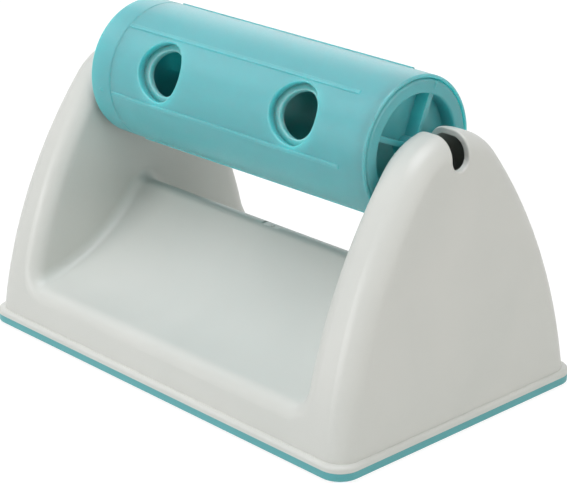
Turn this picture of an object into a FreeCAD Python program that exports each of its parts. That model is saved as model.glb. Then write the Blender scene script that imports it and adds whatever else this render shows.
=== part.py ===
import FreeCAD, Part
import math
import os

import Sketcher

# Treat roller: a hollow stand with two arched end walls, and between them a drum on two axle stubs.
# +Z is up and +X points at the end with the cap. The origin is the middle of the footprint, at the floor.

# Driving dimensions in millimetres and degrees

SIZES = (
    ("base_length", 190.0, "foot of the stand along X"),
    ("base_depth", 119.4, "foot of the stand along Y"),
    ("base_corner", 8.0, "radius of the foot's upright corners"),
    ("foot_proud", 1.0, "how far the rubber feet hold the plate off the floor"),
    ("foot_radius", 7.0, "rubber foot"),
    ("foot_pocket", 0.8, "depth of the pocket that holds a rubber foot"),
    ("foot_pocket_gap", 0.2, "clearance round a rubber foot in its pocket"),
    ("foot_from_end", 15.0, "rubber foot's centre from the end of the base"),
    ("foot_from_side", 15.0, "rubber foot's centre from the side of the base"),
    ("plate_thick", 3.0, "base plate"),
    ("plate_edge_round", 0.6, "rounding of the base plate's lower edge"),
    ("ledge_height", 4.0, "locating ledge of the base plate inside the shell"),
    ("ledge_thick", 1.8, "wall of the locating ledge"),
    ("ledge_gap", 0.7, "clearance between the ledge and the shell"),
    ("rim_thick", 2.2, "flat rim round the foot of the shell"),
    ("rim_edge_round", 1.2, "rounding of the rim's upper edge"),
    ("wall", 2.2, "wall of the shell"),
    ("end_inset", 1.4, "end face of the stand from the rim's edge, at the plate"),
    ("side_inset", 1.8, "front face of the stand from the rim's edge, at the plate"),
    ("end_draft", 2.6, "lean of the end faces, in degrees"),
    ("stand_top", 103.9, "top of the end walls above the floor"),
    ("crown_radius", 26.9, "arc over the top of an end wall"),
    ("flank_radius", 178.5, "long arcs at the sides of an end wall"),
    ("left_wall", 21.8, "left end wall, from the end of the base to the space between the walls"),
    ("right_wall", 23.4, "right end wall, from the end of the base to the space between the walls"),
    ("end_edge_radius", 7.6, "rounding of the outer edges of the end walls"),
    ("lip_radius", 6.5, "rounding of the inner edges of the end walls and of the front lip"),
    ("corner_radius", 4.0, "hollow rounding between the slopes and the end walls"),
    ("slope_past_side", 3.0, "lowest line of the slopes' arc beyond the side of the base"),
    ("slope_low", 18.5, "lowest line of the slopes' arc above the floor"),
    ("ridge_top", 49.5, "top of the ridge between the slopes"),
    ("ridge_radius", 4.0, "rounding over the ridge"),
    ("gate_radius", 4.5, "shallow round flat in the middle of the ridge, where the mould was filled"),
    ("gate_depth", 0.35, "depth of that flat below the top of the ridge"),
    ("gate_stub_radius", 0.9, "cut stub of the sprue in the middle of the flat"),
    ("gate_stub_height", 0.25, "cut stub of the sprue above the flat"),
    ("axis_drop", 9.1, "drum axis below the top of the end walls"),
    ("slot_width", 7.8, "slot that an axle stub lies in"),
    ("slot_gap", 0.3, "clearance under the axle stub in its slot"),
    ("slot_edge_round", 0.6, "rounding of the slot's edges"),
    ("screw_radius", 1.5, "shank of a base screw"),
    ("screw_length", 10.0, "shank of a base screw below its head"),
    ("screw_head_radius", 2.8, "head of a base screw"),
    ("screw_head_height", 1.6, "head of a base screw"),
    ("screw_counterbore", 1.9, "depth of the recess for a screw's head"),
    ("screw_head_gap", 0.3, "clearance round a screw's head"),
    ("screw_hole_gap", 0.25, "clearance round the shank in the plate"),
    ("screw_pilot_gap", 0.05, "clearance round the shank in its boss"),
    ("screw_recess_width", 0.9, "arm of the cross recess in a screw's head"),
    ("screw_recess_span", 3.4, "length of the cross recess"),
    ("screw_recess_depth", 0.9, "depth of the cross recess"),
    ("boss_radius", 3.6, "screw boss inside the shell"),
    ("boss_from_side", 13.7, "screw's centre from the side of the base"),
    ("boss_from_end", 35.0, "outer screw's centre from the end of the base"),
    ("drum_radius", 25.9, "outside of the collar and of the tube beside it"),
    ("tube_taper", 0.8, "how much less the tube's outside measures at the cap"),
    ("collar_end_gap", 2.3, "clearance between the collar's face and the end wall"),
    ("cap_end_gap", 1.7, "clearance between the cap's face and the end wall"),
    ("tube_wall", 2.5, "wall of the outer tube at the cap"),
    ("sleeve_wall", 2.2, "wall of the sleeve"),
    ("sleeve_gap", 0.3, "clearance between the tube and the sleeve, and round the cap's plug"),
    ("seam_gap", 0.2, "gap between the tube and the collar, and between the tube and the cap"),
    ("collar_width", 11.3, "collar at the left end"),
    ("collar_groove", 0.3, "bevel on each side of the seam at the collar"),
    ("spigot_length", 8.0, "how far the collar's spigot reaches into the sleeve"),
    ("spigot_wall", 2.0, "wall of the collar's spigot"),
    ("spigot_gap", 0.1, "clearance between the spigot and the sleeve"),
    ("tube_lip", 1.2, "wall of the tube round the cap's flange, which sits in its mouth"),
    ("cap_width", 3.8, "thickness of the cap's flange"),
    ("cap_proud", 0.1, "the cap's face beyond the end of the tube"),
    ("cap_plug", 10.0, "how far the cap's plug reaches into the tube"),
    ("cap_edge_radius", 1.2, "rounding of the cap's outer edge"),
    ("collar_edge_radius", 0.9, "rounding of the collar's outer edge"),
    ("tube_edge_radius", 0.7, "rounding of the tube's outer edge at the cap"),
    ("mouth_edge_radius", 0.4, "rounding of the tube's inner edge at the cap"),
    ("hole_row_angle", 22.5, "lean of the front row of holes above the horizontal, in degrees"),
    ("hole_rows", 3.0, "rows of holes round the drum"),
    ("hole_from_collar", 14.8, "left hole's edge from the collar's seam"),
    ("hole_from_plug", 10.7, "right hole's edge from the end of the cap's plug"),
    ("hole_radius", 10.8, "hole in the outer tube"),
    ("sleeve_hole_radius", 8.3, "hole in the sleeve"),
    ("hole_edge_round", 0.45, "rounding of the holes' outer edges"),
    ("rib_count", 6.0, "ribs along the tube"),
    ("rib_width", 1.6, "rib along the tube"),
    ("rib_height", 0.45, "rib above the tube"),
    ("rib_round", 0.3, "rounding of the ribs' upper edges"),
    ("rib_from_collar", 0.8, "rib's end from the collar's seam"),
    ("rib_from_end", 11.5, "rib's other end from the drum's end face"),
    ("dot_radius", 0.8, "position dot on the collar"),
    ("ring_width", 5.0, "face of the cap's flange round its recess"),
    ("ring_edge_round", 0.8, "rounding of the recess's mouth"),
    ("recess_depth", 6.0, "recess in each end of the drum"),
    ("end_disc", 2.0, "disc that closes each end of the drum"),
    ("arm_thick", 2.0, "arms of the grip cross in each recess"),
    ("arm_below_face", 0.8, "arms below the end face"),
    ("hub_radius", 3.5, "hub where the arms meet"),
    ("fill_edge", 0.4, "rim left round the filling opening in the cap's disc"),
    ("stub_radius", 2.7, "axle stub"),
    ("stub_reach", 8.6, "axle stub beyond the end face"),
    ("stub_edge_round", 0.6, "rounding of the stub's end"),
    ("tick_width", 0.8, "position tick on the cap's face"),
    ("tick_length", 2.5, "position tick on the cap's face"),
    ("tick_height", 0.3, "position marks above the surface"),
    ("mark_round", 0.2, "rounding of the position marks' upper edges"),
    ("tick_from_edge", 0.5, "tick from the cap's outer edge"),
    ("lug_width", 2.0, "bayonet and stop lugs along X"),
    ("lug_height", 0.8, "lugs above the plug and the sleeve"),
    ("lug_angle", 14.0, "lugs round the axis, in degrees"),
    ("lug_gap", 0.3, "clearance of the lugs in their grooves"),
    ("lug_from_end", 4.0, "bayonet lug from the cap's seam"),
    ("lug_count", 3.0, "bayonet lugs"),
    ("cap_turn", 30.0, "turn that frees the cap, in degrees"),
    ("sleeve_turn", 60.0, "turn of the sleeve from open to closed, in degrees"),
)


class Term:
    """A number together with the sheet expression that gives it."""

    def __init__(self, value, text):
        self.value = value
        self.text = text

    def joined(self, sign, other, value):
        return Term(value, "(%s %s %s)" % (self.text, sign, other.text))

    def __add__(self, other):
        other = as_term(other)
        return self.joined("+", other, self.value + other.value)

    def __sub__(self, other):
        other = as_term(other)
        return self.joined("-", other, self.value - other.value)

    def __mul__(self, other):
        other = as_term(other)
        return self.joined("*", other, self.value * other.value)

    def __truediv__(self, other):
        other = as_term(other)
        return self.joined("/", other, self.value / other.value)

    def __neg__(self):
        return Term(-self.value, "(0 - %s)" % self.text)


def as_term(item):
    return item if isinstance(item, Term) else Term(float(item), repr(float(item)))


def tangent(angle):
    return Term(math.tan(math.radians(angle.value)), "tan(%s)" % angle.text)


def sine(angle):
    return Term(math.sin(math.radians(angle.value)), "sin(%s)" % angle.text)


def cosine(angle):
    return Term(math.cos(math.radians(angle.value)), "cos(%s)" % angle.text)


class Sizes:
    """The named dimensions, each as a term that points at its own cell of the sheet."""

    def __init__(self, document):
        sheet = document.addObject("Spreadsheet::Sheet", "Sizes")
        for row, (alias, number, note) in enumerate(SIZES, start=1):
            sheet.set("A%d" % row, alias)
            sheet.set("B%d" % row, repr(number))
            sheet.setAlias("B%d" % row, alias)
            sheet.set("C%d" % row, note)
            setattr(self, alias, Term(number, "Sizes.%s" % alias))


doc = FreeCAD.newDocument("treat_roller")
S = Sizes(doc)
doc.recompute()

# Lengths that several pieces share

NOTHING = as_term(0.0)
PLATE_TOP = S.foot_proud + S.plate_thick
RIM_TOP = PLATE_TOP + S.rim_thick
HALF_LENGTH = S.base_length / 2
HALF_DEPTH = S.base_depth / 2
SPACE_LEFT = S.left_wall - HALF_LENGTH
SPACE_RIGHT = HALF_LENGTH - S.right_wall
AXIS_HEIGHT = S.stand_top - S.axis_drop
SLOT_HALF = S.slot_width / 2
SLOT_CENTRE = AXIS_HEIGHT - S.stub_radius - S.slot_gap + SLOT_HALF
DRUM_LEFT = SPACE_LEFT + S.collar_end_gap
DRUM_RIGHT = SPACE_RIGHT - S.cap_end_gap
HALF_DRUM = (DRUM_RIGHT - DRUM_LEFT) / 2
DRUM_SHIFT = (DRUM_RIGHT + DRUM_LEFT) / 2
TUBE_END_RADIUS = S.drum_radius - S.tube_taper
TUBE_INNER = TUBE_END_RADIUS - S.tube_wall
CAP_RADIUS = TUBE_END_RADIUS - S.tube_lip - S.seam_gap
RING_INNER_RADIUS = CAP_RADIUS - S.ring_width
SLEEVE_OUTER = TUBE_INNER - S.sleeve_gap
SLEEVE_INNER = SLEEVE_OUTER - S.sleeve_wall
COLLAR_SEAM = HALF_DRUM - S.collar_width
CAP_SEAM = HALF_DRUM - S.cap_width
TUBE_END = HALF_DRUM - S.cap_proud
PLUG_END = CAP_SEAM - S.cap_plug
LUG_RADIUS = SLEEVE_OUTER + S.lug_height
HOLE_CENTRES = (S.hole_from_collar + S.hole_radius - COLLAR_SEAM,
                PLUG_END - S.hole_from_plug - S.hole_radius)
DEGREES = 180.0 / math.pi
SCREW_ROWS = (-1, 0, 1)
SIDES = (-1, 1)


# Document helpers

def bind(thing, **terms):
    """Ties properties to the sheet; a double underscore in a name stands for a dot."""
    for name, item in terms.items():
        thing.setExpression(name.replace("__", "."), item.text)


def new_body(name):
    body = doc.addObject("PartDesign::Body", name)
    body.Label = name
    return body


def origin_part(body, role):
    return next(part for part in body.Origin.OriginFeatures if part.Role == role)


def sketch_on(body, name, role, lift=None, turn=None):
    """Sketch on an origin plane, turned about its own X axis and then lifted along its normal."""
    sketch = body.newObject("Sketcher::SketchObject", name)
    sketch.AttachmentSupport = [(origin_part(body, role), "")]
    sketch.MapMode = "FlatFace"
    if turn is not None:
        sketch.AttachmentOffset = FreeCAD.Placement(
            FreeCAD.Vector(), FreeCAD.Rotation(FreeCAD.Vector(1, 0, 0), turn.value))
        bind(sketch, AttachmentOffset__Rotation__Angle=turn)
        if lift is not None:
            bind(sketch, AttachmentOffset__Base__y=-(lift * sine(turn)))
            bind(sketch, AttachmentOffset__Base__z=lift * cosine(turn))
    elif lift is not None:
        bind(sketch, AttachmentOffset__Base__z=lift)
    return sketch


def hold(sketch, kind, *items):
    return sketch.addConstraint(Sketcher.Constraint(kind, *items))


def hold_size(sketch, kind, *items):
    """Adds a dimension whose last item is a term, and ties it to the sheet."""
    size = items[-1]
    index = sketch.addConstraint(Sketcher.Constraint(kind, *items[:-1], size.value))
    sketch.setExpression("Constraints[%d]" % index, size.text)


def place_point(sketch, line, end, across, up):
    """Places a point of the sketch from its origin; a plain zero puts it on the axis."""
    for kind, axis, item in (("DistanceX", -2, across), ("DistanceY", -1, up)):
        item = as_term(item)
        if item.text == NOTHING.text:
            hold(sketch, "PointOnObject", line, end, axis)
        else:
            hold_size(sketch, kind, -1, 1, line, end, item)


def vector(across, up):
    return FreeCAD.Vector(as_term(across).value, as_term(up).value, 0)


def outline(sketch, corners):
    """Closed outline of straight lines through corners given as pairs of terms."""
    first = sketch.GeometryCount
    count = len(corners)
    for index, corner in enumerate(corners):
        following = corners[(index + 1) % count]
        sketch.addGeometry(Part.LineSegment(vector(*corner), vector(*following)), False)
    for index, corner in enumerate(corners):
        hold(sketch, "Coincident", first + index, 2, first + (index + 1) % count, 1)
        place_point(sketch, first + index, 1, *corner)


def rectangle(sketch, left, bottom, right, top):
    outline(sketch, ((left, bottom), (right, bottom), (right, top), (left, top)))


def circle(sketch, across, up, radius):
    line = sketch.addGeometry(
        Part.Circle(vector(across, up), FreeCAD.Vector(0, 0, 1), radius.value), False)
    place_point(sketch, line, 3, across, up)
    hold_size(sketch, "Radius", line, radius)


def arc(sketch, centre, radius, start, end):
    """Arc run anticlockwise from the direction of start to that of end, as plain numbers."""
    angles = [math.atan2(point[1] - centre[1], point[0] - centre[0]) for point in (start, end)]
    round_edge = Part.Circle(FreeCAD.Vector(centre[0], centre[1], 0), FreeCAD.Vector(0, 0, 1), radius)
    return sketch.addGeometry(Part.ArcOfCircle(round_edge, *angles), False)


def feature(body, kind, name, sketch, reverse=False, symmetric=False, through=False, **sizes):
    """Pad, Pocket, Revolution or Groove made from a sketch."""
    made = body.newObject("PartDesign::" + kind, name)
    made.Profile = sketch
    if kind in ("Revolution", "Groove"):
        made.ReferenceAxis = (sketch, ["H_Axis"])
        made.Midplane = symmetric
    elif symmetric:
        made.SideType = "Symmetric"
    if through:
        made.Type = "ThroughAll"
    made.Reversed = reverse
    bind(made, **sizes)
    doc.recompute()
    return made


def polar(body, name, originals, count):
    """Repeats features evenly about the body's X axis."""
    pattern = body.newObject("PartDesign::PolarPattern", name)
    pattern.Originals = originals
    pattern.Axis = (origin_part(body, "X_Axis"), [""])
    pattern.Angle = 360
    bind(pattern, Occurrences=count)
    body.Tip = pattern
    doc.recompute()
    return pattern


def soften(body, kind, name, test, size):
    """Fillet or Chamfer on every edge of the body that passes the test."""
    base = body.Tip
    names = ["Edge%d" % (index + 1) for index, edge in enumerate(base.Shape.Edges) if test(edge)]
    if not names:
        raise RuntimeError("no edge found for " + name)
    made = body.newObject("PartDesign::" + kind, name)
    made.Base = (base, names)
    bind(made, **{"Radius" if kind == "Fillet" else "Size": size})
    doc.recompute()
    if "Invalid" in made.State or "Error" in made.State:
        raise RuntimeError("%s could not be made on %d edges" % (name, len(names)))
    return made


# Tests that pick edges by where they lie

NEAR = 1e-3


def samples(edge):
    return [edge.valueAt(edge.FirstParameter + share * (edge.LastParameter - edge.FirstParameter))
            for share in (0.0, 0.3, 0.5, 0.7, 1.0)]


def all_at(edge, measure, value):
    """Whether a measure of every sampled point of the edge comes to the value."""
    return all(abs(measure(point) - value) < NEAR for point in samples(edge))


def is_ring(edge, place, radius):
    """Whether the edge is a circle about the drum's axis at that X and radius."""
    return (all_at(edge, lambda point: point.x, place)
            and all_at(edge, lambda point: math.hypot(point.y, point.z), radius))


def distance(point, shape):
    return Part.Vertex(point).distToShape(shape)[0]


def is_upright(edge):
    """Whether the edge runs straight up."""
    ends = samples(edge)
    return abs(ends[0].x - ends[-1].x) < NEAR and abs(ends[0].y - ends[-1].y) < NEAR


# Stand: the form of the upper moulding, made once for its outside and once for its inside

def circle_centre(one, one_distance, two, two_distance, side):
    """Point at two given distances from two points, on the chosen side of the line between them."""
    across, up = two[0] - one[0], two[1] - one[1]
    span = math.hypot(across, up)
    along = (one_distance ** 2 - two_distance ** 2 + span ** 2) / (2 * span)
    off = side * math.sqrt(one_distance ** 2 - along ** 2)
    return (one[0] + (along * across - off * up) / span, one[1] + (along * up + off * across) / span)


def arch_profile(sketch, inset):
    """Arched outline of the end walls: foot line, two flanks and the crown, all tangent."""
    half = HALF_DEPTH - S.side_inset - inset
    flank = S.flank_radius - inset
    crown = S.crown_radius - inset
    crown_up = S.stand_top - S.crown_radius
    foot = (half.value, PLATE_TOP.value)
    top = (0.0, crown_up.value)
    centre = circle_centre(foot, flank.value, top, flank.value - crown.value, 1)
    reach = crown.value / (flank.value - crown.value)
    meet = (top[0] - reach * centre[0], top[1] + reach * (top[1] - centre[1]))
    mirrored = [(-point[0], point[1]) for point in (foot, meet, centre)]
    line = sketch.addGeometry(Part.LineSegment(vector(-half, PLATE_TOP), vector(half, PLATE_TOP)), False)
    back = arc(sketch, centre, flank.value, foot, meet)
    over = arc(sketch, top, crown.value, meet, mirrored[1])
    front = arc(sketch, mirrored[2], flank.value, mirrored[1], mirrored[0])
    hold(sketch, "Tangent", back, 2, over, 1)
    hold(sketch, "Tangent", over, 2, front, 1)
    hold(sketch, "Coincident", line, 2, back, 1)
    hold(sketch, "Coincident", front, 2, line, 1)
    place_point(sketch, back, 1, half, PLATE_TOP)
    place_point(sketch, front, 2, -half, PLATE_TOP)
    place_point(sketch, over, 3, 0, crown_up)
    hold(sketch, "Equal", back, front)
    hold_size(sketch, "Radius", back, flank)
    hold_size(sketch, "Radius", over, crown)


def saddle_profile(sketch, inset):
    """Space between the end walls: down to the two hollow slopes and the ridge between them."""
    ridge = S.ridge_radius - inset
    low = S.slope_low - inset
    ridge_up = S.ridge_top - S.ridge_radius
    reach = HALF_DEPTH + S.slope_past_side
    top = S.stand_top + S.wall
    # The slope's radius is the one at which its arc, flat at its lowest line, touches the crest's arc
    drop = ridge_up.value - low.value
    slope = (reach.value ** 2 + drop ** 2 - ridge.value ** 2) / (2 * (drop + ridge.value))
    centre = (-reach.value, low.value + slope)
    share = ridge.value / (slope + ridge.value)
    meet = (centre[0] * share, ridge_up.value + (centre[1] - ridge_up.value) * share)
    far_centre = (-centre[0], centre[1])
    far_meet = (-meet[0], meet[1])
    front = arc(sketch, centre, slope, (-reach.value, low.value), meet)
    crest = arc(sketch, (0.0, ridge_up.value), ridge.value, far_meet, meet)
    back = arc(sketch, far_centre, slope, far_meet, (reach.value, low.value))
    corners = ((reach, low), (reach, top), (-reach, top), (-reach, low))
    rise, over, fall = [sketch.addGeometry(Part.LineSegment(vector(*one), vector(*two)), False)
                        for one, two in zip(corners, corners[1:])]
    hold(sketch, "Tangent", front, 2, crest, 2)
    hold(sketch, "Tangent", crest, 1, back, 1)
    hold(sketch, "Coincident", back, 2, rise, 1)
    hold(sketch, "Coincident", rise, 2, over, 1)
    hold(sketch, "Coincident", over, 2, fall, 1)
    hold(sketch, "Coincident", fall, 2, front, 1)
    hold(sketch, "Vertical", rise)
    hold(sketch, "Horizontal", over)
    hold(sketch, "Vertical", fall)
    hold(sketch, "Vertical", front, 1, front, 3)
    hold(sketch, "Vertical", back, 2, back, 3)
    place_point(sketch, crest, 3, 0, ridge_up)
    place_point(sketch, front, 1, -reach, low)
    place_point(sketch, back, 2, reach, low)
    hold_size(sketch, "DistanceY", -1, 1, over, 1, top)
    hold_size(sketch, "Radius", crest, ridge)


def end_wedge(sketch, side, end_half):
    """What is cut away outside one leaning end face."""
    height = S.stand_top + S.wall - PLATE_TOP
    outside = HALF_LENGTH + S.wall
    top = PLATE_TOP + height
    lean = height * tangent(S.end_draft)
    outline(sketch, ((end_half * side, PLATE_TOP), (outside * side, PLATE_TOP),
                     (outside * side, top), ((end_half - lean) * side, top)))


def stand_form(name, inset):
    """Arched block with leaning ends and a saddle between its walls, all faces moved in by inset."""
    body = new_body(name)
    end_half = HALF_LENGTH - S.end_inset - inset / cosine(S.end_draft)
    space_left = SPACE_LEFT - inset
    space_right = SPACE_RIGHT + inset
    arch = sketch_on(body, name + "_arch", "YZ_Plane")
    arch_profile(arch, inset)
    feature(body, "Pad", name + "_block", arch, symmetric=True, Length=end_half * 2)
    ends = sketch_on(body, name + "_ends", "XZ_Plane")
    for side in SIDES:
        end_wedge(ends, side, end_half)
    feature(body, "Pocket", name + "_end_faces", ends, symmetric=True, through=True)
    saddle = sketch_on(body, name + "_saddle", "YZ_Plane", lift=space_left)
    saddle_profile(saddle, inset)
    feature(body, "Pocket", name + "_space", saddle, reverse=True, Length=space_right - space_left)

    flank = S.flank_radius.value - inset.value
    crown = S.crown_radius.value - inset.value

    def past_space(point):
        return max(space_left.value - point.x, point.x - space_right.value)

    def on_end(edge):
        return all(past_space(point) > NEAR for point in samples(edge)) and rises(edge)

    def rises(edge):
        return any(point.z > PLATE_TOP.value + NEAR for point in samples(edge))

    def at_wall(edge):
        return all_at(edge, past_space, 0.0)

    def crown_up(point):
        return math.hypot(point.y, point.z - S.stand_top.value + S.crown_radius.value)

    flank_centre = circle_centre((HALF_DEPTH.value - S.side_inset.value - inset.value, PLATE_TOP.value), flank,
                                 (0.0, S.stand_top.value - S.crown_radius.value), flank - crown, 1)

    def on_arch(edge):
        def off(point):
            flank_off = math.hypot(abs(point.y) - flank_centre[0], point.z - flank_centre[1]) - flank
            return min(abs(flank_off), abs(crown_up(point) - crown))
        return all_at(edge, off, 0.0)

    def slope_corner(edge):
        return at_wall(edge) and not on_arch(edge)

    def inner_loop(edge):
        within = all(past_space(point) < NEAR for point in samples(edge))
        return within and rises(edge) and on_arch(edge)

    soften(body, "Fillet", name + "_outer_edges", on_end, S.end_edge_radius - inset)
    soften(body, "Fillet", name + "_slope_corners", slope_corner, S.corner_radius + inset)
    soften(body, "Fillet", name + "_inner_edges", inner_loop, S.lip_radius - inset)
    return body


def screw_places():
    """Centres of the base screws as pairs of terms."""
    side_up = HALF_DEPTH - S.boss_from_side
    return [((HALF_LENGTH - S.boss_from_end) * row, side_up * side) for row in SCREW_ROWS for side in SIDES]


def foot_places():
    """Centres of the rubber feet as pairs of terms."""
    return [((HALF_LENGTH - S.foot_from_end) * end, (HALF_DEPTH - S.foot_from_side) * side)
            for end in SIDES for side in SIDES]


def base_slab(body, name, bottom, thick):
    """Flat slab with the foot's outline and its rounded upright corners."""
    sketch = sketch_on(body, name + "_outline", "XY_Plane", lift=bottom)
    corners = []
    for across, up in ((-1, -1), (1, -1), (1, 1), (-1, 1)):
        corners.append((HALF_LENGTH * across, HALF_DEPTH * up))
    outline(sketch, corners)
    feature(body, "Pad", name, sketch, Length=thick)

    def is_corner(edge):
        return is_upright(edge) and abs(abs(samples(edge)[0].x) - HALF_LENGTH.value) < NEAR

    soften(body, "Fillet", name + "_corners", is_corner, S.base_corner)


def stand_shell():
    """Upper moulding of the stand: rim, hollow end walls, slopes, bosses, slots and gate mark."""
    body = stand_form("stand_shell", NOTHING)
    base_slab(body, "rim", PLATE_TOP, S.rim_thick)

    def rim_edge(edge):
        # Only the rim's own outer edge lies at its top and past the faces of the walls
        outside = all(abs(point.x) > HALF_LENGTH.value - S.base_corner.value - NEAR
                      or abs(point.y) > HALF_DEPTH.value - NEAR for point in samples(edge))
        return outside and all_at(edge, lambda point: point.z, RIM_TOP.value) and on_rim(edge)

    def on_rim(edge):
        corner_x = HALF_LENGTH.value - S.base_corner.value
        corner_y = HALF_DEPTH.value - S.base_corner.value

        def off(point):
            past_x = max(abs(point.x) - corner_x, 0.0)
            past_y = max(abs(point.y) - corner_y, 0.0)
            return math.hypot(past_x, past_y) - S.base_corner.value
        return all_at(edge, off, 0.0)

    soften(body, "Fillet", "rim_edge", rim_edge, S.rim_edge_round)
    outside = body.Tip.Shape.Shells[0]

    cavity = stand_form("stand_cavity", S.wall)
    bosses = sketch_on(cavity, "boss_outlines", "XY_Plane", lift=PLATE_TOP)
    for across, up in screw_places():
        circle(bosses, across, up, S.boss_radius)
    feature(cavity, "Pocket", "bosses", bosses, reverse=True, through=True)

    hollow = body.newObject("PartDesign::Boolean", "hollow")
    hollow.Type = "Cut"
    hollow.setObjects([cavity])
    doc.recompute()

    pilots = sketch_on(body, "pilot_circles", "XY_Plane", lift=PLATE_TOP)
    for across, up in screw_places():
        circle(pilots, across, up, S.screw_radius + S.screw_pilot_gap)
    feature(body, "Pocket", "pilot_holes", pilots, reverse=True, Length=S.screw_length)

    slot = sketch_on(body, "slot_outline", "YZ_Plane")
    slot_profile(slot)
    feature(body, "Pocket", "slots", slot, symmetric=True, through=True)

    def slot_edge(edge):
        return all_at(edge, off_slot, 0.0) and all_at(edge, lambda point: distance(point, outside), 0.0)

    soften(body, "Fillet", "slot_edges", slot_edge, S.slot_edge_round)

    flat = S.ridge_top - S.gate_depth
    for kind, name, radius, length in (("Pocket", "gate_flat", S.gate_radius, S.ridge_radius),
                                       ("Pad", "gate_stub", S.gate_stub_radius, S.gate_stub_height)):
        mark = sketch_on(body, name + "_circle", "XY_Plane", lift=flat)
        circle(mark, 0, 0, radius)
        feature(body, kind, name, mark, reverse=kind == "Pocket", Length=length)
    return body


def off_slot(point):
    """How far a point lies from the slot's walls and round bottom."""
    if point.z < SLOT_CENTRE.value:
        return math.hypot(point.y, point.z - SLOT_CENTRE.value) - SLOT_HALF.value
    return abs(point.y) - SLOT_HALF.value


def slot_profile(sketch):
    """Open-top slot with a round bottom just under the axle stub."""
    half = SLOT_HALF
    top = S.stand_top + S.wall
    centre = (0.0, SLOT_CENTRE.value)
    left = (-half.value, centre[1])
    right = (half.value, centre[1])
    bottom = arc(sketch, centre, half.value, left, right)
    rise = sketch.addGeometry(Part.LineSegment(vector(*right), vector(half, top)), False)
    over = sketch.addGeometry(Part.LineSegment(vector(half, top), vector(-half, top)), False)
    fall = sketch.addGeometry(Part.LineSegment(vector(-half, top), vector(*left)), False)
    hold(sketch, "Tangent", bottom, 2, rise, 1)
    hold(sketch, "Coincident", rise, 2, over, 1)
    hold(sketch, "Coincident", over, 2, fall, 1)
    hold(sketch, "Tangent", fall, 2, bottom, 1)
    hold(sketch, "Vertical", rise)
    hold(sketch, "Vertical", fall)
    hold(sketch, "Horizontal", over)
    place_point(sketch, bottom, 3, 0, SLOT_CENTRE)
    hold_size(sketch, "DistanceY", -1, 1, over, 1, top)
    hold_size(sketch, "Radius", bottom, half)


def base_plate():
    """Plate that closes the stand from below, with its ledge, foot pockets and screw holes."""
    body = new_body("base_plate")
    base_slab(body, "plate", S.foot_proud, S.plate_thick)

    def lower_edge(edge):
        return all_at(edge, lambda point: point.z, S.foot_proud.value)

    soften(body, "Fillet", "plate_lower_edge", lower_edge, S.plate_edge_round)

    ledge = sketch_on(body, "ledge_outline", "XY_Plane", lift=PLATE_TOP)
    end_reach = HALF_LENGTH - S.end_inset - S.wall - S.ledge_gap - S.ledge_height * tangent(S.end_draft)
    side_reach = HALF_DEPTH - S.side_inset - S.wall - S.ledge_gap
    for trim in (NOTHING, S.ledge_thick):
        rectangle(ledge, -(end_reach - trim), -(side_reach - trim), end_reach - trim, side_reach - trim)
    feature(body, "Pad", "ledge", ledge, Length=S.ledge_height)

    def ledge_corner(edge):
        return is_upright(edge) and abs(abs(samples(edge)[0].x) - end_reach.value) < NEAR

    soften(body, "Fillet", "ledge_corners", ledge_corner, S.end_edge_radius - S.wall)

    pockets = sketch_on(body, "foot_circles", "XY_Plane", lift=S.foot_proud)
    for across, up in foot_places():
        circle(pockets, across, up, S.foot_radius + S.foot_pocket_gap)
    feature(body, "Pocket", "foot_pockets", pockets, reverse=True, Length=S.foot_pocket)

    for name, radius, depth in (
            ("screw_holes", S.screw_radius + S.screw_hole_gap, S.plate_thick),
            ("screw_counterbores", S.screw_head_radius + S.screw_head_gap, S.screw_counterbore)):
        circles = sketch_on(body, name + "_circles", "XY_Plane", lift=S.foot_proud)
        for across, up in screw_places():
            circle(circles, across, up, radius)
        feature(body, "Pocket", name, circles, reverse=True, Length=depth)
    return body


def primitive(kind, name, **sizes):
    """Box or cylinder whose sizes and place are tied to the sheet."""
    made = doc.addObject("Part::" + kind, name)
    bind(made, **sizes)
    return made


def rubber_foot(number, across, up):
    """Thin disc in its pocket under a corner of the plate, with a rounded lower edge."""
    name = "rubber_foot_%d" % number
    disc = primitive("Cylinder", name + "_disc", Radius=S.foot_radius, Height=S.foot_proud + S.foot_pocket,
                     Placement__Base__x=across, Placement__Base__y=up)
    doc.recompute()
    edge = 1 + next(index for index, edge in enumerate(disc.Shape.Edges)
                    if all_at(edge, lambda point: point.z, 0.0))
    foot = doc.addObject("Part::Fillet", name)
    foot.Base = disc
    soft = S.foot_proud.value / 2
    foot.Edges = [(edge, soft, soft)]
    foot.Label = name
    return foot


def base_screw(number, across, up):
    """Screw from below through the plate into its boss, with a cross recess in the head."""
    name = "base_screw_%d" % number
    seat = S.foot_proud + S.screw_counterbore
    head_low = seat - S.screw_head_height
    place = {"Placement__Base__x": across, "Placement__Base__y": up}
    head = primitive("Cylinder", name + "_head", Radius=S.screw_head_radius, Height=S.screw_head_height,
                     Placement__Base__z=head_low, **place)
    shank = primitive("Cylinder", name + "_shank", Radius=S.screw_radius, Height=S.screw_length,
                      Placement__Base__z=seat, **place)
    whole = doc.addObject("Part::Fuse", name + "_blank")
    whole.Base = head
    whole.Tool = shank
    arms = []
    for axis, (long, wide) in enumerate(((S.screw_recess_span, S.screw_recess_width),
                                         (S.screw_recess_width, S.screw_recess_span))):
        arms.append(primitive("Box", "%s_arm_%d" % (name, axis + 1), Length=long, Width=wide,
                              Height=S.screw_recess_depth, Placement__Base__x=across - long / 2,
                              Placement__Base__y=up - wide / 2, Placement__Base__z=head_low))
    recess = doc.addObject("Part::Fuse", name + "_recess")
    recess.Base = arms[0]
    recess.Tool = arms[1]
    screw = doc.addObject("Part::Cut", name)
    screw.Base = whole
    screw.Tool = recess
    screw.Label = name
    return screw


# Drum: its pieces are modelled about the X axis and then lifted to the drum's axis and turned

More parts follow.
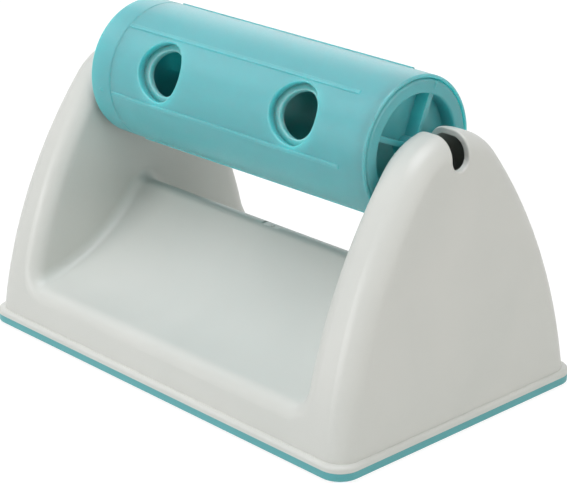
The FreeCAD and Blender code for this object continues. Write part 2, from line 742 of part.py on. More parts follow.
def hang(body):
    """Lifts a drum piece to the axis, shifts it along the axis and turns its front row of holes up."""
    body.Placement = FreeCAD.Placement(
        FreeCAD.Vector(DRUM_SHIFT.value, 0, AXIS_HEIGHT.value),
        FreeCAD.Rotation(FreeCAD.Vector(1, 0, 0), -S.hole_row_angle.value))
    bind(body, Placement__Base__x=DRUM_SHIFT, Placement__Base__z=AXIS_HEIGHT,
         Placement__Rotation__Angle=-S.hole_row_angle)
    doc.recompute()
    return body


def section(body, name, corners):
    """Solid of revolution about the X axis from corners given as X and radius."""
    sketch = sketch_on(body, name, "XZ_Plane")
    outline(sketch, corners)
    made = feature(body, "Revolution", name + "_turned", sketch)
    made.Angle = 360
    doc.recompute()
    return made


def end_corners(side, outer):
    """Corners of a drum end from the tip of its stub to the outer edge of its face."""
    floor = HALF_DRUM - S.recess_depth
    hub_top = HALF_DRUM - S.arm_below_face
    tip = HALF_DRUM + S.stub_reach
    steps = ((tip, 0), (tip, S.stub_radius), (hub_top, S.stub_radius), (hub_top, S.hub_radius),
             (floor, S.hub_radius), (floor, RING_INNER_RADIUS), (HALF_DRUM, RING_INNER_RADIUS),
             (HALF_DRUM, outer))
    return [(across * side, radius) for across, radius in steps]


def grip_cross(body, side):
    """Two crossing arms in the recess of a drum end, from the disc up to just below the face."""
    floor = HALF_DRUM - S.recess_depth
    reach = RING_INNER_RADIUS + S.wall / 4
    half = S.arm_thick / 2
    for name, across, up in (("level_arms", reach, half), ("upright_arms", half, reach)):
        sketch = sketch_on(body, name + "_outline", "YZ_Plane", lift=floor * side)
        rectangle(sketch, -across, -up, across, up)
        feature(body, "Pad", name, sketch, reverse=side < 0, Length=S.recess_depth - S.arm_below_face)


def drum_holes(body, radius, off_outside):
    """Rows of two holes through the wall, evenly round the axis, with rounded outer edges."""
    sketch = sketch_on(body, "hole_circles", "XZ_Plane")
    for centre in HOLE_CENTRES:
        circle(sketch, centre, 0, radius)
    row = feature(body, "Pocket", "holes", sketch, reverse=True, Length=S.drum_radius + S.wall)
    polar(body, "hole_rows", [row], S.hole_rows)

    def hole_edge(edge):
        bent = not isinstance(edge.Curve, (Part.Line, Part.Circle))
        return bent and all_at(edge, off_outside, 0.0)

    soften(body, "Fillet", "hole_edges", hole_edge, S.hole_edge_round)


def lug(body, name, start, outer):
    """Short ridge round part of the wall, centred above the axis."""
    sketch = sketch_on(body, name + "_outline", "XZ_Plane")
    inner = SLEEVE_OUTER - S.sleeve_wall / 2
    rectangle(sketch, start, inner, start + S.lug_width, outer)
    return feature(body, "Revolution", name, sketch, symmetric=True, Angle=S.lug_angle)


def lug_groove(body, name, start, end, turn_from, turn_by):
    """Groove in the tube's inner wall, swept about the axis from one angle by another."""
    sketch = sketch_on(body, name + "_outline", "XZ_Plane", turn=turn_from)
    inner = TUBE_INNER - S.tube_wall / 4
    rectangle(sketch, start, inner, end, LUG_RADIUS + S.lug_gap)
    return feature(body, "Groove", name, sketch, Angle=turn_by)


def bayonet_entry(body, start, length):
    """Straight channel from the tube's end to the groove, where the lugs enter after the cap's turn."""
    sketch = sketch_on(body, "bayonet_entry_outline", "YZ_Plane", lift=start)
    half = LUG_RADIUS * sine(S.lug_angle / 2) + S.lug_gap / 2
    low = TUBE_INNER - S.tube_wall / 2
    high = LUG_RADIUS + S.lug_gap / 2
    corners = ((-half, low), (half, low), (half, high), (-half, high))
    outline(sketch, [turned(across, up, S.cap_turn) for across, up in corners])
    return feature(body, "Pocket", "bayonet_entry", sketch, reverse=True, Length=length)


def turned(across, up, angle):
    """Point of the end view turned about the X axis."""
    return (across * cosine(angle) - up * sine(angle), across * sine(angle) + up * cosine(angle))


def drum_tube():
    """Outer tube with its holes, ribs, the cap's seat and the inner grooves for the two sets of lugs."""
    body = new_body("drum_tube")
    left = -(COLLAR_SEAM - S.seam_gap / 2)
    seat = CAP_SEAM - S.seam_gap / 2
    seat_radius = CAP_RADIUS + S.seam_gap
    section(body, "tube_wall", ((left, TUBE_INNER), (seat, TUBE_INNER), (seat, seat_radius),
                                (TUBE_END, seat_radius), (TUBE_END, TUBE_END_RADIUS), (left, S.drum_radius)))
    soften(body, "Fillet", "tube_end_edge",
           lambda edge: is_ring(edge, TUBE_END.value, TUBE_END_RADIUS.value), S.tube_edge_radius)
    soften(body, "Fillet", "tube_mouth_edge",
           lambda edge: is_ring(edge, TUBE_END.value, seat_radius.value), S.mouth_edge_radius)
    soften(body, "Chamfer", "collar_side_bevel",
           lambda edge: is_ring(edge, left.value, S.drum_radius.value), S.collar_groove)

    taper = (S.drum_radius - TUBE_END_RADIUS) / (TUBE_END - left)

    def above_tube(point):
        return (math.hypot(point.y, point.z) - S.drum_radius.value
                + (point.x - left.value) * taper.value)

    drum_holes(body, S.hole_radius, above_tube)

    ends = (left + S.rib_from_collar, HALF_DRUM - S.rib_from_end)
    foot_line, top_line = [[(across, S.drum_radius - (across - left) * taper + rise) for across in ends]
                           for rise in (-S.rib_height, S.rib_height)]
    rib = sketch_on(body, "rib_outline", "XZ_Plane")
    outline(rib, foot_line + top_line[::-1])
    one_rib = feature(body, "Revolution", "rib", rib, symmetric=True,
                      Angle=S.rib_width / S.drum_radius * DEGREES)
    polar(body, "ribs", [one_rib], S.rib_count)
    soften(body, "Fillet", "rib_edges",
           lambda edge: all_at(edge, above_tube, S.rib_height.value), S.rib_round)

    play = S.lug_angle / 2 + S.lug_gap / LUG_RADIUS * DEGREES
    run_start = CAP_SEAM - S.lug_from_end - S.lug_width - S.lug_gap
    run_end = CAP_SEAM - S.lug_from_end + S.lug_gap
    run = lug_groove(body, "bayonet_run", run_start, run_end, -play, play * 2 + S.cap_turn)
    entry = bayonet_entry(body, run_start + S.lug_gap, S.cap_plug)
    polar(body, "bayonet_grooves", [run, entry], S.lug_count)
    lug_groove(body, "stop_groove", left - S.wall, left + S.lug_width + S.lug_gap, -play,
               play * 2 + S.sleeve_turn)
    return hang(body)


def drum_sleeve():
    """Inner tube that opens and covers the holes, with the lug that stops its turn."""
    body = new_body("drum_sleeve")
    seam = -(COLLAR_SEAM + S.seam_gap / 2)
    end = PLUG_END - S.sleeve_gap * 2
    section(body, "sleeve_section", ((seam, SLEEVE_INNER), (end, SLEEVE_INNER),
                                     (end, SLEEVE_OUTER), (seam, SLEEVE_OUTER)))
    drum_holes(body, S.sleeve_hole_radius,
               lambda point: math.hypot(point.y, point.z) - SLEEVE_OUTER.value)
    lug(body, "stop_lug", seam, LUG_RADIUS)
    return hang(body)


def sleeve_collar():
    """Collar that turns the sleeve, fixed in it by a spigot, with the left stub and a grip cross."""
    body = new_body("sleeve_collar")
    seam = -(COLLAR_SEAM + S.seam_gap / 2)
    spigot_end = seam + S.spigot_length
    spigot_outer = SLEEVE_INNER - S.spigot_gap
    spigot_inner = spigot_outer - S.spigot_wall
    inner_floor = -(HALF_DRUM - S.recess_depth - S.end_disc)
    section(body, "collar_section", end_corners(-1, S.drum_radius) + [
        (seam, S.drum_radius), (seam, spigot_outer), (spigot_end, spigot_outer), (spigot_end, spigot_inner),
        (inner_floor, spigot_inner), (inner_floor, 0)])
    round_end(body, -1, S.drum_radius, S.collar_edge_radius)
    soften(body, "Chamfer", "collar_bevel",
           lambda edge: is_ring(edge, seam.value, S.drum_radius.value), S.collar_groove)
    grip_cross(body, -1)

    rib_angle = as_term(360.0) / S.rib_count * 2
    dot = sketch_on(body, "dot_outline", "XY_Plane", lift=S.drum_radius - S.rib_height, turn=rib_angle)
    circle(dot, -(HALF_DRUM - S.collar_width / 2), 0, S.dot_radius)
    feature(body, "Pad", "dot", dot, Length=S.rib_height + S.tick_height)
    dot_top = S.drum_radius + S.tick_height
    turn = math.radians(rib_angle.value)
    soften(body, "Fillet", "dot_edge",
           lambda edge: all_at(edge, lambda point: point.z * math.cos(turn) - point.y * math.sin(turn),
                               dot_top.value), S.mark_round)
    return hang(body)


def round_end(body, side, outer, outer_round):
    """Rounds the outer edge, the recess's mouth and the tip of the stub of one drum end."""
    face = HALF_DRUM.value * side
    tip = (HALF_DRUM.value + S.stub_reach.value) * side
    soften(body, "Fillet", "outer_end_edge",
           lambda edge: is_ring(edge, face, outer.value), outer_round)
    soften(body, "Fillet", "recess_mouth",
           lambda edge: is_ring(edge, face, RING_INNER_RADIUS.value), S.ring_edge_round)
    soften(body, "Fillet", "stub_tip",
           lambda edge: is_ring(edge, tip, S.stub_radius.value), S.stub_edge_round)


def filling_opening(body):
    """Opens one quarter of the cap's disc, between two arms of the grip cross."""
    sketch = sketch_on(body, "filling_outline", "YZ_Plane", lift=HALF_DRUM - S.recess_depth)
    edge = S.arm_thick / 2
    inner = S.hub_radius
    outer = RING_INNER_RADIUS - S.fill_edge
    near = -math.sqrt(inner.value ** 2 - edge.value ** 2)
    far = -math.sqrt(outer.value ** 2 - edge.value ** 2)
    side = -edge.value
    rim = arc(sketch, (0.0, 0.0), outer.value, (far, side), (side, far))
    root = arc(sketch, (0.0, 0.0), inner.value, (near, side), (side, near))
    level = sketch.addGeometry(Part.LineSegment(vector(near, side), vector(far, side)), False)
    upright = sketch.addGeometry(Part.LineSegment(vector(side, far), vector(side, near)), False)
    hold(sketch, "Coincident", rim, 1, level, 2)
    hold(sketch, "Coincident", rim, 2, upright, 1)
    hold(sketch, "Coincident", root, 1, level, 1)
    hold(sketch, "Coincident", root, 2, upright, 2)
    hold(sketch, "Horizontal", level)
    hold(sketch, "Vertical", upright)
    for line in (rim, root):
        hold(sketch, "Coincident", line, 3, -1, 1)
    hold_size(sketch, "Radius", rim, outer)
    hold_size(sketch, "Radius", root, inner)
    hold_size(sketch, "DistanceY", -1, 1, level, 1, -edge)
    hold_size(sketch, "DistanceX", -1, 1, upright, 1, -edge)
    feature(body, "Pocket", "filling_opening", sketch, Length=S.end_disc + S.wall)


def end_cap():
    """Cap at the right end: flange, plug with bayonet lugs, recess, grip cross, stub and tick."""
    body = new_body("end_cap")
    seam = CAP_SEAM + S.seam_gap / 2
    inner_floor = HALF_DRUM - S.recess_depth - S.end_disc
    section(body, "cap_section", end_corners(1, CAP_RADIUS) + [
        (seam, CAP_RADIUS), (seam, SLEEVE_OUTER), (PLUG_END, SLEEVE_OUTER), (PLUG_END, SLEEVE_INNER),
        (inner_floor, SLEEVE_INNER), (inner_floor, 0)])
    round_end(body, 1, CAP_RADIUS, S.cap_edge_radius)
    grip_cross(body, 1)
    filling_opening(body)

    start = CAP_SEAM - S.lug_from_end - S.lug_width
    one_lug = lug(body, "bayonet_lug", start, LUG_RADIUS)
    polar(body, "bayonet_lugs", [one_lug], S.lug_count)

    tick = sketch_on(body, "tick_outline", "YZ_Plane", lift=HALF_DRUM - S.tick_height)
    half = S.tick_width / 2
    top = CAP_RADIUS - S.tick_from_edge
    rectangle(tick, -half, top - S.tick_length, half, top)
    feature(body, "Pad", "tick", tick, Length=S.tick_height * 2)
    soften(body, "Fillet", "tick_edges",
           lambda edge: all_at(edge, lambda point: point.x, (HALF_DRUM + S.tick_height).value),
           S.mark_round)
    return hang(body)


# Assembly, checks and export

def build():
    pieces = [stand_shell(), base_plate()]
    pieces += [rubber_foot(number, *place) for number, place in enumerate(foot_places(), start=1)]
    pieces += [base_screw(number, *place) for number, place in enumerate(screw_places(), start=1)]
    pieces += [drum_tube(), drum_sleeve(), sleeve_collar(), end_cap()]
    doc.recompute()
    return pieces


def check(pieces):
    for thing in doc.Objects:
        if "Invalid" in thing.State or "Error" in thing.State:
            raise RuntimeError("%s is %s" % (thing.Name, thing.State))
        if thing.isDerivedFrom("Sketcher::SketchObject") and not thing.FullyConstrained:
            print("sketch not fully constrained:", thing.Name)
    for piece in pieces:
        shape = piece.Shape
        if shape.isNull() or not shape.isValid() or len(shape.Solids) != 1:
            raise RuntimeError("%s is not one valid solid" % piece.Label)


def export(pieces):
    os.makedirs("parts", exist_ok=True)
    for piece in pieces:
        piece.Shape.exportStep("parts/%s.step" % piece.Label)
        box = piece.Shape.BoundBox
        print("%-14s volume %9.1f mm3  box %6.1f %6.1f %6.1f to %6.1f %6.1f %6.1f" % (
            piece.Label, piece.Shape.Volume, box.XMin, box.YMin, box.ZMin, box.XMax, box.YMax, box.ZMax))


ROLLER = build()
check(ROLLER)
export(ROLLER)
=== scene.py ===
"""Treat roller: a turquoise drum that turns in the two end walls of a pale grey stand.

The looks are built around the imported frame. Everything is in metres, in that frame: the roller
rests on z = 0, the drum turns about X, and the wide concave slopes face -Y and +Y.
"""

import logging
import math
from dataclasses import dataclass, replace
from enum import Enum
from typing import Any

import bmesh
import bpy
from mathutils import Matrix, Vector


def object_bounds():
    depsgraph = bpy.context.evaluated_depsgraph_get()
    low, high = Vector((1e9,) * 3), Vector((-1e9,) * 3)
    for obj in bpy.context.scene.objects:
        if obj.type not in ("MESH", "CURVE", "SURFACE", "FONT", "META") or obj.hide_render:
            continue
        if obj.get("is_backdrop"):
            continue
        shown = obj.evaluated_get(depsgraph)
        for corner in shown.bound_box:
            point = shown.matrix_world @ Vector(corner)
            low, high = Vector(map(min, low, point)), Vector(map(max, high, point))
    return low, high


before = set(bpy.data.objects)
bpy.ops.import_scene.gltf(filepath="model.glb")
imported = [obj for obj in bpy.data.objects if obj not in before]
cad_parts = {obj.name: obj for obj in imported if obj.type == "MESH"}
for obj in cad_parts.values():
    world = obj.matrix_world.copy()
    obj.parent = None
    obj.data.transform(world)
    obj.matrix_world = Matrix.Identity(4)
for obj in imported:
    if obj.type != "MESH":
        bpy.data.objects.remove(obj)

LOG = logging.getLogger("treat_roller")

MM = 0.001

# A noise pattern seldom leaves this range, so what it drives is spread over it.
NOISE_LOW = 0.3
NOISE_HIGH = 0.7

# The colour sockets of a Mix node, by number, because its other sockets have the same names.
MIX_SHARE = 0
MIX_FIRST = 6
MIX_SECOND = 7
MIX_RESULT = 2


class Slot(Enum):
    """The material slots of the record."""

    STAND = "grey_polypropylene"
    PLATE = "turquoise_plate"
    DRUM = "turquoise_drum"
    FOOT = "foot_rubber"
    SCREW = "screw_steel"


def linear(code: str) -> tuple[float, float, float, float]:
    """Turns an sRGB hex colour into linear light, by the sRGB standard's own curve.

    Args:
        code: The colour, such as "#D6D6D0".

    Returns:
        Red, green, blue and an alpha of 1.
    """
    levels = [int(code[i:i + 2], 16) / 255 for i in (1, 3, 5)]
    light = [v / 12.92 if v <= 0.04045 else ((v + 0.055) / 1.055) ** 2.4 for v in levels]
    return (light[0], light[1], light[2], 1.0)


def add_node(
    tree: bpy.types.NodeTree,
    kind: str,
    settings: dict[str | int, Any] | None = None,
    links: dict[str | int, bpy.types.NodeSocket] | None = None,
) -> bpy.types.Node:
    """Adds one node with its settings and links.

    Args:
        tree: The node tree that gets the node.
        kind: The node's type.
        settings: Values by property name, or by an input's name or number.
        links: Output sockets, by the name or number of the input that each one feeds.

    Returns:
        The new node.
    """
    node = tree.nodes.new(kind)
    for key, value in (settings or {}).items():
        if isinstance(key, str) and hasattr(node, key):
            setattr(node, key, value)
        else:
            node.inputs[key].default_value = value
    for key, socket in (links or {}).items():
        tree.links.new(socket, node.inputs[key])
    return node


def new_material(name: str) -> tuple[bpy.types.Material, bpy.types.NodeTree]:
    """Makes an empty node material.

    Args:
        name: The material's name.

    Returns:
        The material and its cleared node tree.
    """
    material = bpy.data.materials.new(name)
    material.use_nodes = True
    material.node_tree.nodes.clear()
    return material, material.node_tree


def noise_scale(patch_mm: float) -> float:
    """Returns the scale that gives a noise pattern patches of a real size in millimetres."""
    return 1 / (patch_mm * MM)


def looked_at(tree: bpy.types.NodeTree) -> bpy.types.NodeSocket:
    """Says where the background is looked at straight, in a gloss or through something clear.

    Args:
        tree: The node tree that gets the nodes.

    Returns:
        A socket that is 1 for such a ray, and 0 for the others.
    """
    ray = add_node(tree, "ShaderNodeLightPath")
    gloss = add_node(
        tree,
        "ShaderNodeMath",
        {"operation": "MAXIMUM"},
        {0: ray.outputs["Is Camera Ray"], 1: ray.outputs["Is Glossy Ray"]},
    )
    clear = add_node(
        tree,
        "ShaderNodeMath",
        {"operation": "MAXIMUM"},
        {0: gloss.outputs[0], 1: ray.outputs["Is Transmission Ray"]},
    )
    return clear.outputs[0]


def direction(azimuth: float, elevation: float) -> Vector:
    """Gives the direction in which something stands from the roller.

    Args:
        azimuth: Degrees round Z, from -Y towards +X.
        elevation: Degrees above the floor.

    Returns:
        A vector one metre long, away from the roller.
    """
    turn = math.radians(azimuth)
    rise = math.radians(elevation)
    flat = math.cos(rise)
    return Vector((math.sin(turn) * flat, -math.cos(turn) * flat, math.sin(rise)))


@dataclass(frozen=True)
class MouldedPolypropylene:
    """Polypropylene, injection moulded in a spark-eroded tool.

    The tool's fine pits give a satin face: broad soft highlights and no mirror. The colour drifts
    by a shade where the melt flowed and packed more densely. With little pigment the plastic is
    milky: light goes some way into it, and softens its shadows.
    """

    name: str
    colour: str
    dense_colour: str
    roughness: float
    roughness_spread: float = 0.05
    # The denser patches, stirred by the flow of the melt.
    flow_mm: float = 42.0
    flow_detail: float = 2.0
    flow_sharpness: float = 0.45
    flow_stirring: float = 0.6
    # The pits are about 0.1 mm wide, so they are drawn coarser, as wide as they need to be to show.
    pit_mm: float = 0.7
    pit_depth_mm: float = 0.01
    pit_detail: float = 3.0
    pit_sharpness: float = 0.6
    # Slow waves that shrinkage leaves in a thin wall as it cools.
    sink_mm: float = 26.0
    sink_depth_mm: float = 0.05
    sink_detail: float = 1.0
    sink_sharpness: float = 0.3
    # How strongly the pits and waves tilt the light.
    relief: float = 0.5
    # How much of the light goes in, how far it gets, and the share of that way that each of red,
    # green and blue gets.
    milkiness: float = 0.0
    scatter_mm: float = 1.2
    scatter_tint: tuple[float, float, float] = (1.0, 1.0, 1.0)
    index: float = 1.49

    def build(self) -> bpy.types.Material:
        """Makes the plastic, with its colour drift, pitted face and uneven gloss.

        Returns:
            The material.
        """
        material, tree = new_material(self.name)
        place = add_node(tree, "ShaderNodeTexCoord").outputs["Object"]
        flow = add_node(
            tree,
            "ShaderNodeTexNoise",
            {
                "Scale": noise_scale(self.flow_mm),
                "Detail": self.flow_detail,
                "Roughness": self.flow_sharpness,
                "Distortion": self.flow_stirring,
            },
            {"Vector": place},
        )
        drift = add_node(
            tree,
            "ShaderNodeMapRange",
            {"From Min": NOISE_LOW, "From Max": NOISE_HIGH},
            {"Value": flow.outputs["Fac"]},
        )
        colour = add_node(
            tree,
            "ShaderNodeMix",
            {
                "data_type": "RGBA",
                MIX_FIRST: linear(self.colour),
                MIX_SECOND: linear(self.dense_colour),
            },
            {MIX_SHARE: drift.outputs["Result"]},
        )
        pits = add_node(
            tree,
            "ShaderNodeTexNoise",
            {
                "Scale": noise_scale(self.pit_mm),
                "Detail": self.pit_detail,
                "Roughness": self.pit_sharpness,
            },
            {"Vector": place},
        )
        sink = add_node(
            tree,
            "ShaderNodeTexNoise",
            {
                "Scale": noise_scale(self.sink_mm),
                "Detail": self.sink_detail,
                "Roughness": self.sink_sharpness,
            },
            {"Vector": place},
        )
        gloss = add_node(
            tree,
            "ShaderNodeMapRange",
            {
                "From Min": NOISE_LOW,
                "From Max": NOISE_HIGH,
                "To Min": self.roughness - self.roughness_spread,
                "To Max": self.roughness + self.roughness_spread,
            },
            {"Value": pits.outputs["Fac"]},
        )
        wavy = add_node(
            tree,
            "ShaderNodeBump",
            {"Strength": self.relief, "Distance": self.sink_depth_mm * MM},
            {"Height": sink.outputs["Fac"]},
        )
        pitted = add_node(
            tree,
            "ShaderNodeBump",
            {"Strength": self.relief, "Distance": self.pit_depth_mm * MM},
            {"Height": pits.outputs["Fac"], "Normal": wavy.outputs["Normal"]},
        )
        shader = add_node(
            tree,
            "ShaderNodeBsdfPrincipled",
            {
                "IOR": self.index,
                "Subsurface Weight": self.milkiness,
                "Subsurface Radius": self.scatter_tint,
                "Subsurface Scale": self.scatter_mm * MM,
            },
            {
                "Base Color": colour.outputs[MIX_RESULT],
                "Roughness": gloss.outputs["Result"],
                "Normal": pitted.outputs["Normal"],
            },
        )
        add_node(tree, "ShaderNodeOutputMaterial", links={"Surface": shader.outputs["BSDF"]})
        return material


@dataclass(frozen=True)
class CutRubber:
    """Rubber sheet, cut to a disc: dull, with a fine open grain that holds a little dust."""

    name: str = "cut_rubber_sheet"
    colour: str = "#3A3C3D"
    dust_colour: str = "#4A4B4A"
    roughness: float = 0.82
    grain_mm: float = 0.6
    grain_depth_mm: float = 0.06
    grain_detail: float = 4.0
    # How strongly the grain tilts the light.
    relief: float = 0.6
    index: float = 1.52

    def build(self) -> bpy.types.Material:
        """Makes the rubber, with its dusty grain.

        Returns:
            The material.
        """
        material, tree = new_material(self.name)
        place = add_node(tree, "ShaderNodeTexCoord").outputs["Object"]
        grain = add_node(
            tree,
            "ShaderNodeTexNoise",
            {"Scale": noise_scale(self.grain_mm), "Detail": self.grain_detail},
            {"Vector": place},
        )
        colour = add_node(
            tree,
            "ShaderNodeMix",
            {
                "data_type": "RGBA",
                MIX_FIRST: linear(self.colour),
                MIX_SECOND: linear(self.dust_colour),
            },
            {MIX_SHARE: grain.outputs["Fac"]},
        )
        grainy = add_node(
            tree,
            "ShaderNodeBump",
            {"Strength": self.relief, "Distance": self.grain_depth_mm * MM},
            {"Height": grain.outputs["Fac"]},
        )
        shader = add_node(
            tree,
            "ShaderNodeBsdfPrincipled",
            {"IOR": self.index, "Roughness": self.roughness},
            {"Base Color": colour.outputs[MIX_RESULT], "Normal": grainy.outputs["Normal"]},
        )
        add_node(tree, "ShaderNodeOutputMaterial", links={"Surface": shader.outputs["BSDF"]})
        return material


@dataclass(frozen=True)
class ZincPlatedSteel:
    """Steel screw, zinc plated in a barrel: bright grey, clouded by tumbling."""

    name: str = "zinc_plated_steel"
    colour: str = "#C3C6C8"
    cloud_colour: str = "#A9ADAF"
    metallic: float = 1.0
    roughness: float = 0.34
    cloud_mm: float = 1.5
    cloud_detail: float = 5.0
    scratch_depth_mm: float = 0.015
    # How strongly the scratches tilt the light.
    relief: float = 0.4

    def build(self) -> bpy.types.Material:
        """Makes the plated steel, with its clouding and fine tumbling marks.

        Returns:
            The material.
        """
        material, tree = new_material(self.name)
        place = add_node(tree, "ShaderNodeTexCoord").outputs["Object"]
        cloud = add_node(
            tree,
            "ShaderNodeTexNoise",
            {"Scale": noise_scale(self.cloud_mm), "Detail": self.cloud_detail},
            {"Vector": place},
        )
        colour = add_node(
            tree,
            "ShaderNodeMix",
            {
                "data_type": "RGBA",
                MIX_FIRST: linear(self.colour),
                MIX_SECOND: linear(self.cloud_colour),
            },
            {MIX_SHARE: cloud.outputs["Fac"]},
        )
        scratched = add_node(
            tree,
            "ShaderNodeBump",
            {"Strength": self.relief, "Distance": self.scratch_depth_mm * MM},
            {"Height": cloud.outputs["Fac"]},
        )
        shader = add_node(
            tree,
            "ShaderNodeBsdfPrincipled",
            {"Metallic": self.metallic, "Roughness": self.roughness},
            {"Base Color": colour.outputs[MIX_RESULT], "Normal": scratched.outputs["Normal"]},
        )
        add_node(tree, "ShaderNodeOutputMaterial", links={"Surface": shader.outputs["BSDF"]})
        return material


@dataclass(frozen=True)
class MattWhitePaint:
    """Matt white paint, rolled on the floor: white to the eye, with shadows kept as light grey."""

    name: str = "white_floor"
    colour: str = "#F4F4F2"
    glow_colour: str = "#FFFFFF"
    # The glow's share of the floor, where it is looked at. The lit paint is the rest, and holds
    # the roller's shadow. The two together come to white.
    glow_share: float = 0.8
    glow_strength: float = 1.15

    def build(self) -> bpy.types.Material:
        """Makes the paint, with its glow.

        Returns:
            The material.
        """
        material, tree = new_material(self.name)
        share = add_node(
            tree,
            "ShaderNodeMath",
            {"operation": "MULTIPLY", 1: self.glow_share},
            {0: looked_at(tree)},
        )
        paint = add_node(tree, "ShaderNodeBsdfDiffuse", {"Color": linear(self.colour)})
        glow = add_node(
            tree,
            "ShaderNodeEmission",
            {"Color": linear(self.glow_colour), "Strength": self.glow_strength},
        )
        both = add_node(
            tree,
            "ShaderNodeMixShader",
            links={0: share.outputs[0], 1: paint.outputs[0], 2: glow.outputs[0]},
        )
        add_node(tree, "ShaderNodeOutputMaterial", links={"Surface": both.outputs[0]})
        return material


def dress(node: str, material: bpy.types.Material) -> None:
    """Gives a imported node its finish.

    Args:
        node: The node's name.
        material: The finish that it gets on every face.
    """
    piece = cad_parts[node]
    piece.data.materials.clear()
    piece.data.materials.append(material)
    LOG.info("%s: %s", node, material.name)


@dataclass(frozen=True)
class View:
    """The camera, where the photograph was taken from.

    The angles are in degrees, the lens and the sensor in millimetres.
    """

    azimuth: float = 46.74
    elevation: float = 20.88
    roll: float = -0.05
    distance: float = 700.0 * MM
    aim: tuple[float, float, float] = (3.25 * MM, 2.31 * MM, 43.12 * MM)
    lens: float = 122.35
    sensor: float = 36.0

    def build(self) -> None:
        """Makes the scene's camera."""
        turn = math.radians(self.azimuth)
        back = direction(self.azimuth, self.elevation)
        right = Vector((math.cos(turn), math.sin(turn), 0.0))
        up = back.cross(right)
        roll = Matrix.Rotation(math.radians(self.roll), 3, "Z")
        axes = Matrix((right, up, back)).transposed() @ roll
        place = Matrix.Translation(Vector(self.aim) + back * self.distance)
        data = bpy.data.cameras.new("camera")
        data.lens = self.lens
        data.sensor_width = self.sensor
        camera = bpy.data.objects.new("camera", data)
        bpy.context.scene.collection.objects.link(camera)
        camera.matrix_world = place @ axes.to_4x4()
        bpy.context.scene.camera = camera


@dataclass(frozen=True)
class Lamp:
    """A square softbox that points at the roller.

    The angles are in degrees, the distance and the side in metres, and the power in watts.
    """

    name: str
    azimuth: float
    elevation: float
    distance: float
    side: float
    power: float
    colour: str

    def build(self, aim: Vector) -> None:
        """Hangs the softbox.

        Args:
            aim: The point that it faces.
        """
        away = direction(self.azimuth, self.elevation)
        data = bpy.data.lights.new(self.name, "AREA")
        data.shape = "SQUARE"
        data.size = self.side
        data.energy = self.power
        data.color = linear(self.colour)[:3]
        lamp = bpy.data.objects.new(self.name, data)
        bpy.context.scene.collection.objects.link(lamp)
        lamp.location = aim + away * self.distance
        lamp.rotation_mode = "QUATERNION"
        lamp.rotation_quaternion = away.to_track_quat("Z", "Y")


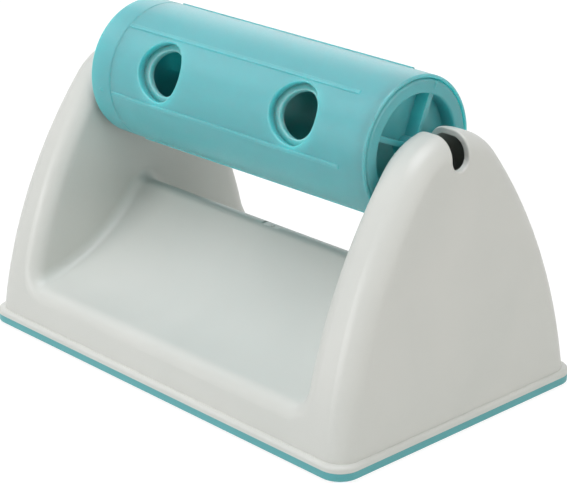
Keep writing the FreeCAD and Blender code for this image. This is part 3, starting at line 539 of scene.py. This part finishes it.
@dataclass(frozen=True)
class Studio:
    """A plain white floor under even, soft light."""

    floor_side: float = 6.0
    floor_finish: MattWhitePaint = MattWhitePaint()
    sky_colour: str = "#FFFFFF"
    # The light all round that falls on the roller. Where the sky is looked at, its strength is 1.
    sky_strength: float = 0.12
    # Name, azimuth, elevation, distance, side, power and colour.
    lamps: tuple[Lamp, ...] = (
        Lamp("top_softbox", 20.0, 78.0, 1.3, 0.9, 12.1, "#F7FAFF"),
        Lamp("left_softbox", -62.0, 40.0, 1.4, 0.7, 1.8, "#FFFFFF"),
        Lamp("low_softbox", -20.0, 12.0, 1.5, 0.6, 6.5, "#FFFFFF"),
        Lamp("side_softbox", 75.0, 25.0, 1.6, 0.6, 2.5, "#FFFDF8"),
        Lamp("right_softbox", 100.0, 12.0, 1.5, 0.9, 4.9, "#FFFDF8"),
        Lamp("back_softbox", -133.0, 22.0, 1.5, 0.9, 2.2, "#FFFFFF"),
    )

    def build(self) -> None:
        """Builds the floor, the lamps and the light all round."""
        bpy.context.scene.view_settings.view_transform = "Standard"
        self._floor()
        self._sky()
        low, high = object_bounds()
        for lamp in self.lamps:
            lamp.build((low + high) / 2)

    def _floor(self) -> None:
        """Lays the floor."""
        mesh = bpy.data.meshes.new("floor")
        shape = bmesh.new()
        bmesh.ops.create_grid(shape, x_segments=1, y_segments=1, size=self.floor_side / 2)
        shape.to_mesh(mesh)
        shape.free()
        floor = bpy.data.objects.new("floor", mesh)
        bpy.context.scene.collection.objects.link(floor)
        mesh.materials.append(self.floor_finish.build())
        floor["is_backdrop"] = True

    def _sky(self) -> None:
        """Sets the light all round, which is white where it is looked at."""
        world = bpy.data.worlds.new("studio")
        bpy.context.scene.world = world
        world.use_nodes = True
        tree = world.node_tree
        tree.nodes.clear()
        level = add_node(
            tree,
            "ShaderNodeMapRange",
            {"To Min": self.sky_strength, "To Max": 1.0},
            {"Value": looked_at(tree)},
        )
        light = add_node(
            tree,
            "ShaderNodeBackground",
            {"Color": linear(self.sky_colour)},
            {"Strength": level.outputs["Result"]},
        )
        add_node(tree, "ShaderNodeOutputWorld", links={"Surface": light.outputs[0]})


@dataclass
class Stand:
    """The pale grey shell, the turquoise plate that closes it from below, its feet and screws."""

    shell_finish: MouldedPolypropylene = MouldedPolypropylene(
        "grey_polypropylene_moulded", "#D6D6D0", "#D1D2CC", roughness=0.38
    )
    plate_finish: MouldedPolypropylene = MouldedPolypropylene(
        "turquoise_polypropylene_plate", "#59A9AD", "#55A5A9", roughness=0.4
    )
    foot_finish: CutRubber = CutRubber()
    screw_finish: ZincPlatedSteel = ZincPlatedSteel()

    def dress(self) -> None:
        """Gives the shell, the plate, the feet and the screws their finishes."""
        dress("stand_shell", self.shell_finish.build())
        dress("base_plate", self.plate_finish.build())
        rubber = self.foot_finish.build()
        steel = self.screw_finish.build()
        for node in sorted(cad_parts):
            if node.startswith("rubber_foot"):
                dress(node, rubber)
            if node.startswith("base_screw"):
                dress(node, steel)


@dataclass
class Drum:
    """The turquoise drum: its outer tube, the sleeve inside with its collar, and the end cap."""

    finish: MouldedPolypropylene = MouldedPolypropylene(
        "turquoise_polypropylene_drum",
        "#66BCC2",
        "#62B8BE",
        roughness=0.34,
        milkiness=1.0,
        scatter_mm=12.0,
        scatter_tint=(0.2, 1.0, 0.95),
    )
    # The sleeve's paler colour is painted light: it brightens the shaded hole rings and the drum's
    # inside, in place of the light that the milky walls let through.
    sleeve_painted_light_finish: MouldedPolypropylene = replace(
        finish,
        name="turquoise_sleeve_painted_light",
        colour="#86DEDC",
        dense_colour="#82DAD8",
    )

    def dress(self) -> None:
        """Gives the drum's pieces their finishes."""
        plastic = self.finish.build()
        for node in ("drum_tube", "sleeve_collar", "end_cap"):
            dress(node, plastic)
        # The sleeve gets the paler copy, painted light for its shaded hole rings and inside.
        dress("drum_sleeve", self.sleeve_painted_light_finish.build())


def main() -> None:
    """Builds the view, the studio and the roller's looks."""
    logging.basicConfig(level=logging.INFO, format="%(message)s")
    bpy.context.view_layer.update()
    View().build()
    Studio().build()
    Stand().dress()
    Drum().dress()


if __name__ == "__main__":
    main()
